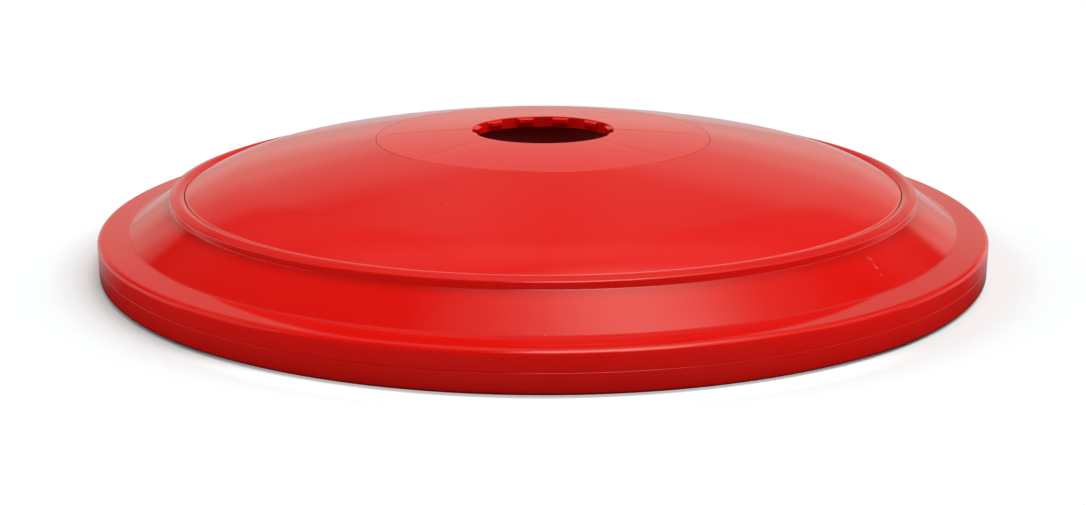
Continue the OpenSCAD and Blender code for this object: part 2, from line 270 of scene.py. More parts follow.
def piece(name, shells, finish, nodes, sharp=32):
    """Joins surfaces into one object in metres, merges the points that they share, smooths it but
    for edges sharper than the given angle, and lets it stand for its CAD nodes."""
    verts, faces, start = [], [], 0
    for points, quads in shells:
        verts.append(points)
        faces += [[int(k) + start for k in face] for face in quads]
        start += len(points)
    mesh = bpy.data.meshes.new(name)
    mesh.from_pydata((np.vstack(verts) * MM).tolist(), [], faces)
    work = bmesh.new()
    work.from_mesh(mesh)
    bmesh.ops.remove_doubles(work, verts=work.verts, dist=1e-8)
    work.to_mesh(mesh)
    work.free()
    mesh.polygons.foreach_set("use_smooth", np.ones(len(mesh.polygons), dtype=bool))
    mesh.set_sharp_from_angle(angle=np.radians(sharp))
    mesh.materials.append(finish)
    made = bpy.data.objects.new(name, mesh)
    bpy.context.scene.collection.objects.link(made)
    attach(made, "root")
    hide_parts(*nodes)
    return made


# Arcs that the shells follow
chord_z = Z_EDGE + (Z_PLATE - Z_EDGE) * SHOULDER_W / (DOME_R - PLATE_R)
shoulder_p = np.array([DOME_R - SHOULDER_W, chord_z + SHOULDER_UP])
dome_c = arc_centre((PLATE_R, Z_PLATE), shoulder_p, DOME_ARC_R)
shoulder_n = (shoulder_p - dome_c) / DOME_ARC_R
shoulder_d = np.array([DOME_R, Z_EDGE]) - shoulder_p
shoulder_r = -(shoulder_d @ shoulder_d) / (2 * shoulder_d @ shoulder_n)
shoulder_c = shoulder_p - shoulder_r * shoulder_n
plate_rise = Z_HOLE - Z_PLATE
plate_below = (PLATE_R**2 - HOLE_R**2 - plate_rise**2) / (2 * plate_rise)
plate_arc_r = np.hypot(PLATE_R, plate_below)
plate_c = np.array([0.0, Z_PLATE - plate_below])


def dome_top(r, down=0.0):
    """Height of the dome, or of its outline moved inwards by so much: the broad arc up to the
    shoulder, and beyond it the tighter arc that leaves the broad one without a kink."""
    r = np.asarray(r, float)
    joint = shoulder_p[0] - down * shoulder_n[0]
    broad = arc_z(dome_c, DOME_ARC_R - down, r)
    return np.where(r < joint, broad, arc_z(shoulder_c, shoulder_r - down, r))


def plate_top(r, down=0.0):
    """Height of the centre plate's arc, or of the arc so much below it."""
    return arc_z(plate_c, plate_arc_r - down, r)


# Centre plate


def plate_section():
    """Outline of the plate through a tooth, from its seat round to the hole: the outer edge, the top,
    the step down to the tooth, the tooth's ledge, tip and sloping back, and the underside."""
    edge = PLATE_R - SEAM_OPEN
    outside = rounded(
        [
            (PLATE_R - LEDGE_W, Z_PLATE_SEAT),
            (edge, Z_PLATE_SEAT, 0.15),
            (edge, float(plate_top(edge)), GROOVE_SOFT),
            (edge - 4 * GROOVE_SOFT, float(plate_top(edge - 4 * GROOVE_SOFT))),
        ],
        closed=False,
    )[:-1]
    near = HOLE_R + HOLE_EDGE_W
    r = near + (edge - 2.5 * GROOVE_SOFT - near) * np.linspace(1, 0, 40) ** 1.15
    top = np.column_stack([r, plate_top(r)])
    step = Z_HOLE - TOOTH_STEP
    tip = step - TOOTH_LEAN * (HOLE_R - TIP_R)
    low = float(plate_top(HOLE_R, WALL))
    back = low + TOOTH_BACK
    tooth = rounded(
        [
            tuple(top[-1]),
            (HOLE_R, Z_HOLE, HOLE_SOFT),
            (HOLE_R, step),
            (TIP_R, tip, TOOTH_SOFT),
            (TIP_R, tip - TOOTH_T, TOOTH_SOFT),
            (HOLE_R, back),
            (HOLE_R, back - 0.15),
            (HOLE_R, low, 0.15),
            (HOLE_R + 1, float(plate_top(HOLE_R + 1, WALL))),
        ],
        closed=False,
    )[1:]
    r = HOLE_R + 1 + (PLATE_R - LEDGE_W - HOLE_R - 1) * np.linspace(0, 1, 24)[1:]
    under = np.column_stack([r, plate_top(r, WALL)])
    return np.vstack([outside, top, tooth, under, [[PLATE_R - LEDGE_W, Z_PLATE_SEAT + 0.3]]])


def plate_angles():
    """Angles of the plate's sections, in degrees: an even degree, with more at the sides of each
    tooth and beside each fine line."""
    beside_tooth = np.array([-0.45, -0.3, -0.2, 0, 0.25, 0.5, 0.8, 1.15, 1.55, 2.1])
    beside_line = np.array([0.07, 0.14, 0.21, 0.3, 0.42, 0.6, 0.8])
    least = 0.03
    angles = [np.arange(0, 360, 1.0)]
    for k in range(TEETH):
        centre = 90 + (k + 0.5) * 360 / TEETH
        for side in (-1, 1):
            angles.append(centre + side * (TOOTH_HALF + beside_tooth))
    for k in range(4):
        angles.append(90 * k + beside_line)
        angles.append(90 * k - beside_line)
    found = np.sort(np.concatenate(angles) % 360)
    return found[np.append(np.diff(found) > least, True)]


def centre_plate_surface():
    """The plate: its section at each angle, where between two teeth every point of the tooth lies
    back on the hole's wall. On its top is a shallow groove along each of four radii and a softer
    hollow along each of four more."""
    tooth = plate_section()
    angles = plate_angles()
    pitch = 360 / TEETH
    off = np.abs((angles - 90) % pitch - pitch / 2)
    t = np.clip((off - TOOTH_HALF + 0.3) / 2.4, 0, 1)
    share = 1 - (1 - t[:, None]) ** 2.2
    r = tooth[None, :, 0] + share * np.maximum(HOLE_R - tooth[None, :, 0], 0)
    z = np.broadcast_to(tooth[None, :, 1], r.shape)
    a = np.radians(angles)[:, None]
    on_top = (z > plate_top(r) - 0.02) & (r < PLATE_R - 0.8)
    reach = np.clip((PLATE_R - 1.2 - r) / 2, 0, 1)
    for k, depth, width in PLATE_LINES:
        turn = (np.degrees(a) - 45 * k + 45) % 90 - 45
        d = r * np.radians(turn)
        z = z - on_top * reach * depth * np.exp(-((d / width) ** 2))
    verts = np.stack([r * np.cos(a), r * np.sin(a), z], axis=2).reshape(-1, 3)
    return verts, grid_faces(len(angles), len(tooth))


def collar_outline():
    """Section of the collar that reaches down from the plate round the mouth of the socket."""
    return rounded([
        (COLLAR_R, Z_SOCKET - 2, 0.2),
        (COLLAR_R + RIB, Z_SOCKET - 2, 0.2),
        (COLLAR_R + RIB, Z_PLATE),
        (COLLAR_R, Z_PLATE),
    ])


def hook_outline():
    """Section of a snap hook, from its root inside the plate down to the catch under the ledge."""
    out_r = PLATE_R - LEDGE_W - FREE
    thick = WALL * 0.6
    z = Z_PLATE_LEDGE - FREE
    root = Z_PLATE - WALL / 2
    return rounded([
        (out_r - thick, z - 2 * CATCH, 0.2),
        (out_r, z - 2 * CATCH, 0.2),
        (out_r + CATCH, z - CATCH, 0.2),
        (out_r + CATCH, z, 0.1),
        (out_r, z),
        (out_r, root),
        (out_r - thick, root),
    ])


def plate_rib_outline():
    """Outline of a rib under the plate, whose top follows the middle of the plate's wall."""
    r0, r1 = COLLAR_R + RIB / 2, PLATE_R - LEDGE_W + RIB
    r = np.linspace(r1, r0, 12)
    top = np.column_stack([r, plate_top(r, WALL / 2)])
    return np.vstack([[[r0, Z_PLATE_SEAT], [r1, Z_PLATE_SEAT]], top])


# Dome panel


def dome_outline():
    """Section of the dome: the ledge for the plate, the wall up to the groove, the arc out to the
    crease, the foot on the skirt's ledge, the locating lip and the underside."""
    out_r = DOME_R - SEAM_OPEN
    inside = PLATE_R - LEDGE_W
    r = np.linspace(PLATE_R + 4 * GROOVE_SOFT, out_r - 3 * CREASE_SOFT, 60)
    top = np.column_stack([r, dome_top(r)])[::-1]
    under_out = LEDGE_R - GAP - LIP_T
    r = np.linspace(PLATE_R + WALL, under_out, 36)
    under = np.column_stack([r, dome_top(r, WALL)])
    foot = rounded(
        [
            tuple(under[-1]),
            (under_out, Z_SEAT - 1.5, 0.2),
            (under_out + LIP_T, Z_SEAT - 1.5, 0.3),
            (under_out + LIP_T, Z_SEAT, 0.1),
            (out_r, Z_SEAT, 0.15),
            (out_r, float(dome_top(out_r)), CREASE_SOFT),
            tuple(top[0]),
        ],
        closed=False,
    )[1:-1]
    head = rounded(
        [
            tuple(top[-1]),
            (PLATE_R, float(dome_top(PLATE_R)), GROOVE_SOFT),
            (PLATE_R, Z_PLATE_SEAT, 0.1),
            (inside, Z_PLATE_SEAT, 0.2),
            (inside, Z_PLATE_LEDGE, 0.2),
            (PLATE_R + WALL, Z_PLATE_LEDGE, 0.4),
            tuple(under[0]),
        ],
        closed=False,
    )[1:-1]
    return np.vstack([under, foot, top, head])


def dome_rib_outline():
    """Outline of a rib under the dome, from just above the ballast to the middle of the wall."""
    r0, r1 = PLATE_R + WALL / 2, LIP_R + WALL / 2
    r = np.linspace(r1, r0, 20)
    top = np.column_stack([r, dome_top(r, WALL / 2)])
    low = Z_BALLAST + FREE
    return np.vstack([[[r0, low], [r1, low]], top])


def boss_surface(angle):
    """A screw boss with its blind hole: a turned tube whose top is sheared to the dome's wall."""
    outline = np.array([
        [0, Z_FLOOR + PILOT_UP],
        [PILOT_R, Z_FLOOR + PILOT_UP],
        [PILOT_R, Z_FLOOR],
        [BOSS_R, Z_FLOOR],
        [BOSS_R, Z_EDGE],
        [0, Z_EDGE],
    ])
    verts, faces = turned(outline, closed=False, sides=HOLE_SIDES, centre=on_ring(BOSS_C_R, angle))
    high = verts[:, 2] > Z_EDGE - 0.01
    verts[high, 2] = dome_top(np.hypot(verts[high, 0], verts[high, 1]), WALL / 2)
    return verts, faces


# Skirt ring


def skirt_outline():
    """Section of the skirt: the bead's lip and shoulder, the slope, the flange, the rim down to the
    seam, and the inner face with the ledge for the dome."""
    slope = np.arctan2(Z_BEAD - Z_FLANGE, CONE_R - BEAD_R)
    lip = (DOME_R + 0.35, Z_EDGE + 0.175)
    under_r = CONE_R - (Z_LEDGE - Z_FLANGE + WALL / np.cos(slope)) / np.tan(slope)
    body = rounded(
        [
            (DOME_R, Z_SEAT),
            (LEDGE_R, Z_SEAT, 0.15),
            (LEDGE_R, Z_LEDGE, 0.3),
            (under_r, Z_LEDGE, 0.5),
            (CONE_R - WALL * np.tan(slope / 2), Z_FLANGE - WALL, 0.8),
            (RIM_R - WALL, Z_RIM - WALL, 0.6),
            (RIM_R - WALL, Z_SEAM, 0.1),
            (RIM_R - SEAM_V, Z_SEAM, 0.05),
            (RIM_R, Z_SEAM + SEAM_V, 0.12),
            (RIM_R, Z_RIM, 1.2),
            (CONE_R, Z_FLANGE, 1.2),
            (BEAD_R, Z_BEAD, 0.35),
            (BEAD_R, Z_CREST - 0.6, 0.5),
            (BEAD_R - 2, Z_CREST + 0.12, 1.6),
            lip,
        ],
        closed=False,
    )
    inner = rounded(
        [lip, (DOME_R + 0.16, Z_EDGE + 0.06, 0.22), (DOME_R, Z_EDGE - 0.4), (DOME_R, Z_SEAT)],
        closed=False,
    )[1:-1]
    return np.vstack([body, inner])


# Base pan


def pan_outline():
    """Section of the pan from the middle of its floor, up over the socket, the ballast walls and the
    lap, round the rim's lower half to the edge of the underside. It runs clockwise."""
    socket = rounded(
        [
            (0, Z_FLOOR),
            (BORE_R, Z_FLOOR, 0.4),
            (BORE_R, Z_SOCKET - 1, 0.3),
            (BORE_R + 1, Z_SOCKET, 0.1),
            (SOCKET_R, Z_SOCKET, 0.4),
            (SOCKET_R, Z_FLOOR, 0.5),
            (TRAY_IN_R, Z_FLOOR, 0.4),
            (TRAY_IN_R, Z_TRAY, 0.3),
            (TRAY_IN_R + RIB, Z_TRAY, 0.3),
            (TRAY_IN_R + RIB, Z_FLOOR, 0.2),
            (TRAY_OUT_R - RIB, Z_FLOOR, 0.2),
            (TRAY_OUT_R - RIB, Z_TRAY, 0.3),
            (TRAY_OUT_R, Z_TRAY, 0.3),
            (TRAY_OUT_R, Z_FLOOR),
        ],
        closed=False,
    )
    rim = rounded(
        [
            (LAP_R - RIB, Z_FLOOR),
            (LAP_R - RIB, Z_LAP, 0.3),
            (LAP_R, Z_LAP, 0.3),
            (LAP_R, Z_SEAM, 0.1),
            (RIM_R - SEAM_V, Z_SEAM, 0.05),
            (RIM_R, Z_SEAM - SEAM_V, 0.12),
            (RIM_R, Z_PAN, 0.7),
            (RIM_R - 4, Z_PAN),
        ],
        closed=False,
    )[:-1]
    return socket, rim


def side_wall(loops, sides):
    """The wall of a hole: circles (centre, radius, height) joined one to the next."""
    rings = [np.column_stack([circle_points(c, r, sides), np.full(sides, z)]) for c, r, z in loops]
    return np.vstack(rings), grid_faces(len(loops), sides, False, True)


def pan_surfaces():
    """The pan: the turned parts, the two level faces that its holes pass through, and the walls of
    the screw holes and of the recesses for the feet."""
    socket, rim = pan_outline()
    head, shank, sides = SCREW_HEAD_R, SCREW_R, HOLE_SIDES
    sink = Z_PAN + head - shank
    recess = PAD_T
    shells = []
    for outline in (socket, rim):
        verts, faces = turned(held(outline, closed=False), closed=False)
        shells.append((verts, faces[:, ::-1]))
    screws = [on_ring(BOSS_C_R, k * 60) for k in range(6)]
    pads = [on_ring(PAD_C_R, 30 + k * 60) for k in range(6)]
    through = [(c, shank, sides) for c in screws]
    shells.append(flat_with_holes(Z_FLOOR, LAP_R - RIB, TRAY_OUT_R, through, True))
    under = [(c, head, sides) for c in screws] + [(c, PAD_R + GAP, sides) for c in pads]
    shells.append(flat_with_holes(Z_PAN, float(rim[-1, 0]), 0, under, False))
    for c in screws:
        shells.append(side_wall([(c, head, Z_PAN), (c, shank, sink), (c, shank, Z_FLOOR)], sides))
    for c in pads:
        outline = np.array([[PAD_R + GAP, Z_PAN], [PAD_R + GAP, recess], [0, recess]])
        shells.append(turned(outline[::-1], closed=False, sides=sides, centre=c))
    return shells


def pan_ribs():
    """The gussets of the socket and the ribs between the outer ballast wall and the lap."""
    mid = Z_PAN + WALL / 2
    socket = np.array([
        [BORE_R + 1.5, mid],
        [TRAY_IN_R + RIB / 2, mid],
        [TRAY_IN_R + RIB / 2, Z_TRAY - RIB],
        [BORE_R + 1.5, Z_SOCKET - 2 - FREE],
    ])
    low = Z_FLOOR + (Z_LAP - Z_FLOOR) / 2
    outer = np.array([
        [TRAY_OUT_R - RIB / 2, mid],
        [LAP_R - RIB / 2, mid],
        [LAP_R - RIB / 2, low],
        [BEAD_R, Z_LEDGE - 2.5],
        [TRAY_OUT_R - RIB / 2, Z_LEDGE - 2.5],
    ])
    return [radial_rib(o, 15 + 30 * k) for k in range(12) for o in (socket, outer)]


# Rubber feet


def foot_surface(k):
    """A rubber foot: a turned pad with a rounded lower edge and three shallow grip rings."""
    c = on_ring(PAD_C_R, 30 + 60 * k)
    grooves = []
    up = FOOT_RING_DEPTH
    for r in FOOT_RINGS:
        grooves += [(r - 0.3, 0), (r - 0.1, up, 0.05), (r + 0.1, up, 0.05), (r + 0.3, 0)]
    outline = rounded(
        [(0, 0)] + grooves + [(PAD_R, 0, 0.35), (PAD_R, PAD_T, 0.15), (0, PAD_T)], closed=False
    )
    return turned(held(outline, closed=False, longest=1.0), closed=False, sides=FOOT_SIDES, centre=c)


# Node helpers


def add(tree, kind, inputs=None, **settings):
    """Adds a node and sets it up: an input that is a socket is linked, anything else is its value."""
    made = tree.nodes.new(kind)
    for key, value in settings.items():
        setattr(made, key, value)
    for key, value in (inputs or {}).items():
        if isinstance(value, bpy.types.NodeSocket):
            tree.links.new(value, made.inputs[key])
        else:
            made.inputs[key].default_value = value
    return made


def sums(tree, operation, *values):
    """A Math node's result."""
    return add(tree, "ShaderNodeMath", dict(enumerate(values)), operation=operation).outputs[0]


def dotted(tree, first, second):
    """The dot product of two vectors."""
    made = add(tree, "ShaderNodeVectorMath", {0: first, 1: second}, operation="DOT_PRODUCT")
    return made.outputs["Value"]


def scaled(tree, vector, scale):
    """A vector times a number."""
    return add(tree, "ShaderNodeVectorMath", {0: vector, "Scale": scale}, operation="SCALE").outputs[0]


def moved(tree, vector, operation, other):
    """A vector with another one added or subtracted."""
    return add(tree, "ShaderNodeVectorMath", {0: vector, 1: other}, operation=operation).outputs[0]


def noise_at(tree, where, scale, detail, roughness=0.5):
    """Noise at a place, as its value and its colour."""
    inputs = {"Vector": where, "Scale": scale, "Detail": detail, "Roughness": roughness}
    return add(tree, "ShaderNodeTexNoise", inputs).outputs


def ramp(tree, value, low, high, to_low=0.0, to_high=1.0):
    """value carried smoothly from low..high to to_low..to_high."""
    inputs = {"Value": value, "From Min": low, "From Max": high, "To Min": to_low, "To Max": to_high}
    return add(tree, "ShaderNodeMapRange", inputs, interpolation_type="SMOOTHSTEP").outputs["Result"]


def effect(name, inputs, outputs):
    """A new shader node group with named sockets. Gives the tree, its inputs and its output node."""
    tree = bpy.data.node_groups.new(name, "ShaderNodeTree")
    for label, kind, value in inputs:
        socket = tree.interface.new_socket(label, in_out="INPUT", socket_type=kind)
        if value is not None:
            socket.default_value = value
    for label, kind in outputs:
        tree.interface.new_socket(label, in_out="OUTPUT", socket_type=kind)
    entry = tree.nodes.new("NodeGroupInput").outputs
    return tree, entry, tree.nodes.new("NodeGroupOutput").inputs


def use(tree, group, inputs):
    """Places a shared effect in a tree. Gives its outputs."""
    return add(tree, "ShaderNodeGroup", inputs, node_tree=group).outputs


def mixed(tree, share, first, second):
    """Mixes two colours by a share."""
    return add(tree, "ShaderNodeMix", {0: share, 6: first, 7: second}, data_type="RGBA").outputs[2]


def cylinder_parts(tree, position):
    """Radius from the axis, height, and the level direction away from the axis, of a position."""
    split = add(tree, "ShaderNodeSeparateXYZ", {"Vector": position})
    level = {"X": split.outputs["X"], "Y": split.outputs["Y"]}
    flat = add(tree, "ShaderNodeCombineXYZ", level).outputs[0]
    length = add(tree, "ShaderNodeVectorMath", {0: flat}, operation="LENGTH").outputs["Value"]
    away = add(tree, "ShaderNodeVectorMath", {0: flat}, operation="NORMALIZE").outputs["Vector"]
    return length, split.outputs["Z"], away


# Shared effects
FLOAT = "NodeSocketFloat"
VECTOR = "NodeSocketVector"
# Bands over which a mask rises or falls, in metres: the collar's wall, the plate's underside and the
# hole's wall for the painted shade in the hollow, then the rim's wall for its lines
HOLLOW_SIDE = (0.0202, 0.0206)
HOLLOW_TOP = (0.0249, 0.0254)
HOLE_WALL = (0.0252, 0.0275)
RIM_WALL = ((RIM_R - 0.9) * MM, (RIM_R - 0.2) * MM)
# How full the painted shade in the hollow is below the plate and on the hole's wall
HOLLOW_SHADE_FULL = 0.8
HOLE_WALL_SHADE_FULL = 0.12
# How finely a scuff's edge is broken up, and how far it strays
SCUFF_SCALE = 700.0
SCUFF_STRAY = 0.0012


def make_flow_streaks():
    """Faint streaks along the way that the plastic flowed, out from the hole: noise that changes
    fast round the axis and slowly along a radius."""
    tree, entry, out = effect(
        "flow_streaks",
        [("Position", VECTOR, None), ("Streaks", FLOAT, 13.0), ("Reach", FLOAT, 30.0)],
        [("Mask", FLOAT)],
    )
    radius, _, away = cylinder_parts(tree, entry["Position"])
    turn = scaled(tree, away, entry["Streaks"])
    along = sums(tree, "MULTIPLY", radius, entry["Reach"])
    place = add(tree, "ShaderNodeCombineXYZ", {"Z": along}).outputs[0]
    noise = noise_at(tree, moved(tree, turn, "ADD", place), 1.0, 3.0, 0.6)[0]
    tree.links.new(ramp(tree, noise, 0.35, 0.68), out["Mask"])
    return tree


def make_dust_specks():
    """Tiny pale specks, sparse and uneven: the middle of a cell, kept only in a few cells."""
    tree, entry, out = effect(
        "dust_specks",
        [
            ("Position", VECTOR, None),
            ("Spacing", FLOAT, 260.0),
            ("Size", FLOAT, 0.09),
            ("Share", FLOAT, 0.12),
        ],
        [("Mask", FLOAT)],
    )
    cells = add(tree, "ShaderNodeTexVoronoi", {"Vector": entry["Position"], "Scale": entry["Spacing"]})
    chance = add(tree, "ShaderNodeSeparateColor", {0: cells.outputs["Color"]}).outputs[0]
    kept = sums(tree, "LESS_THAN", chance, entry["Share"])
    size = sums(tree, "MULTIPLY", entry["Size"], sums(tree, "DIVIDE", chance, entry["Share"]))
    inside = sums(tree, "SUBTRACT", 1.0, sums(tree, "DIVIDE", cells.outputs["Distance"], size))
    dot = add(tree, "ShaderNodeClamp", {"Value": inside}).outputs[0]
    tree.links.new(sums(tree, "MULTIPLY", dot, kept), out["Mask"])
    return tree


def make_moulded_skin():
    """The skin of a glossy moulding: a broad waviness from cooling and a very fine peel."""
    tree, entry, out = effect(
        "moulded_skin",
        [
            ("Position", VECTOR, None),
            ("Wave Scale", FLOAT, 45.0),
            ("Wave Share", FLOAT, 0.9),
            ("Peel Scale", FLOAT, 900.0),
            ("Peel Share", FLOAT, 0.02),
        ],
        [("Height", FLOAT)],
    )
    wave = noise_at(tree, entry["Position"], entry["Wave Scale"], 1.0)[0]
    peel = noise_at(tree, entry["Position"], entry["Peel Scale"], 2.0)[0]
    wave = sums(tree, "MULTIPLY", wave, entry["Wave Share"])
    peel = sums(tree, "MULTIPLY", peel, entry["Peel Share"])
    tree.links.new(sums(tree, "ADD", wave, peel), out["Height"])
    return tree


def make_ring_lines():
    """Fine level lines round the rim, as the mould's turned wall leaves them: noise that changes
    fast with height and slowly along the way round."""
    tree, entry, out = effect(
        "ring_lines",
        [("Position", VECTOR, None), ("Lines", FLOAT, 2600.0), ("Length", FLOAT, 3.0)],
        [("Mask", FLOAT)],
    )
    radius, height, away = cylinder_parts(tree, entry["Position"])
    turn = scaled(tree, away, entry["Length"])
    rise = sums(tree, "MULTIPLY", height, entry["Lines"])
    up = add(tree, "ShaderNodeCombineXYZ", {"Z": rise}).outputs[0]
    noise = noise_at(tree, moved(tree, turn, "ADD", up), 1.0, 2.0, 0.6)[0]
    wall = ramp(tree, radius, *RIM_WALL)
    tree.links.new(sums(tree, "MULTIPLY", noise, wall), out["Mask"])
    return tree


def make_handling():
    """Wear from handling: soft smudges."""
    tree, entry, out = effect(
        "handling",
        [("Position", VECTOR, None), ("Smudge Scale", FLOAT, 55.0)],
        [("Smudge", FLOAT)],
    )
    noise = noise_at(tree, entry["Position"], entry["Smudge Scale"], 4.0, 0.55)[0]
    tree.links.new(ramp(tree, noise, 0.42, 0.7), out["Smudge"])
    return tree


def make_hollow_shade():
    """How far a position lies in the hollow under the hole, inside the collar, as the mask of a
    painted
    shade there: it rises down the hole's wall and is full below the plate."""
    tree, entry, out = effect("hollow", [("Position", VECTOR, None)], [("Mask", FLOAT)])
    radius, height, _ = cylinder_parts(tree, entry["Position"])
    # Painted shade in the hollow: inside the collar, full below the plate and rising down the hole's
    # wall
    inside = ramp(tree, radius, *HOLLOW_SIDE, 1.0, 0.0)
    below = ramp(tree, height, *HOLLOW_TOP, HOLLOW_SHADE_FULL, 0.0)
    wall = ramp(tree, height, *HOLE_WALL, HOLE_WALL_SHADE_FULL, 0.0)
    tree.links.new(sums(tree, "MULTIPLY", inside, sums(tree, "ADD", below, wall)), out["Mask"])
    return tree


def make_corner_shade_and_edge_highlight():
    """How near a position is to the corner where the slope meets the bead, the mask of a painted shade
    there, and to the dome's edge, the mask of a painted highlight along it.
    """
    outputs = [("Mask", FLOAT), ("Edge Highlight", FLOAT)]
    tree, entry, out = effect("corner", [("Position", VECTOR, None)], outputs)
    radius, height, _ = cylinder_parts(tree, entry["Position"])
    # Painted shade in the corner under the bead
    near = ramp(tree, radius, BEAD_R * MM, (BEAD_R + 2.4) * MM, 1.0, 0.0)
    below = ramp(tree, height, (Z_BEAD - 0.1) * MM, (Z_BEAD + 0.1) * MM, 1.0, 0.0)
    outside = ramp(tree, radius, DOME_R * MM, (BEAD_R - 0.5) * MM)
    tree.links.new(sums(tree, "MULTIPLY", sums(tree, "MULTIPLY", near, below), outside), out["Mask"])
    # Painted highlight along the dome's edge
    start = ramp(tree, radius, (DOME_R - 0.5) * MM, (DOME_R - 0.25) * MM)
    end = ramp(tree, radius, (DOME_R + 0.05) * MM, (DOME_R + 0.2) * MM, 1.0, 0.0)
    tree.links.new(sums(tree, "MULTIPLY", start, end), out["Edge Highlight"])
    return tree


def make_scuff():
    """One short scuff: how near a position is to the line between two points, broken up by noise."""
    tree, entry, out = effect(
        "scuff",
        [
            ("Position", VECTOR, None),
            ("Start", VECTOR, None),
            ("End", VECTOR, None),
            ("Width", FLOAT, 0.0003),
        ],
        [("Mask", FLOAT)],
    )
    ragged = noise_at(tree, entry["Position"], SCUFF_SCALE, 1.0)
    stray = scaled(tree, moved(tree, ragged["Color"], "SUBTRACT", (0.5, 0.5, 0.5)), SCUFF_STRAY)
    line = moved(tree, entry["End"], "SUBTRACT", entry["Start"])
    here = moved(tree, moved(tree, entry["Position"], "ADD", stray), "SUBTRACT", entry["Start"])
    along = sums(tree, "DIVIDE", dotted(tree, here, line), dotted(tree, line, line))
    share = add(tree, "ShaderNodeClamp", {"Value": along}).outputs[0]
    foot = scaled(tree, line, share)
    gap = add(tree, "ShaderNodeVectorMath", {0: here, 1: foot}, operation="DISTANCE").outputs["Value"]
    near = ramp(tree, sums(tree, "DIVIDE", gap, entry["Width"]), 0.3, 1.0, 1.0, 0.0)
    tree.links.new(sums(tree, "MULTIPLY", near, ramp(tree, ragged[0], 0.35, 0.6)), out["Mask"])
    return tree


flow_streaks = make_flow_streaks()
dust_specks = make_dust_specks()
moulded_skin = make_moulded_skin()
ring_lines = make_ring_lines()
handling = make_handling()
hollow = make_hollow_shade()
corner = make_corner_shade_and_edge_highlight()
scuff = make_scuff()

# Colours of the red plastic: the plate, the dome, the rim and slope in a deeper red that stands in for
# the shade on them, flow streaks, worn places and the painted highlight along the dome's edge, the
# painted shade in the corner under the bead, and the painted shade in the hollow under the hole
PLATE_COLOUR = (0.82, 0.0055, 0.0035, 1.0)
DOME_COLOUR = (0.76, 0.0055, 0.0035, 1.0)
# The rim and slope are a deeper red than the plate, as painted shade
RIM_SHADED_COLOUR = (0.7, 0.0065, 0.004, 1.0)
STREAK_COLOUR = (0.72, 0.004, 0.003, 1.0)
# Pale colour of dust specks, scuffs and the painted highlight along the dome's edge
WORN_AND_HIGHLIGHT_COLOUR = (0.9, 0.42, 0.38, 1.0)
# Painted shade in the corner under the bead
CORNER_SHADE_COLOUR = (0.2, 0.001, 0.001, 1.0)
# Painted shade in the hollow under the hole
HOLLOW_SHADE_COLOUR = (0.24, 0.001, 0.0008, 1.0)
# How strongly each of them shows
SPECK_SHARE = 0.35
SCUFF_SHARE = 0.13
EDGE_HIGHLIGHT_SHARE = 0.25
CORNER_SHADE_SHARE = 0.3
# What smudges, marks and the hollow add to or make of the roughness
SMUDGE_ROUGHNESS = 0.05
MARK_ROUGHNESS = 0.5
HOLLOW_ROUGHNESS = 0.7
SKIN_DEPTH = 0.00006
# Scuffs on the slope: start, end and width, in metres
SLOPE_SCUFFS = [
    ((0.0642, -0.0583, 0.0134), (0.0658, -0.0617, 0.0112), 0.0004),
    ((0.0637, -0.0583, 0.0138), (0.0644, -0.0585, 0.0132), 0.0006),
]


def new_finish(name):
    """A material with its shader, and the object coordinates that its patterns read."""
    finish = bpy.data.materials.new(name)
    finish.use_nodes = True
    tree = finish.node_tree
    shader = tree.nodes["Principled BSDF"]
    position = add(tree, "ShaderNodeTexCoord").outputs["Object"]
    return finish, tree, shader, position


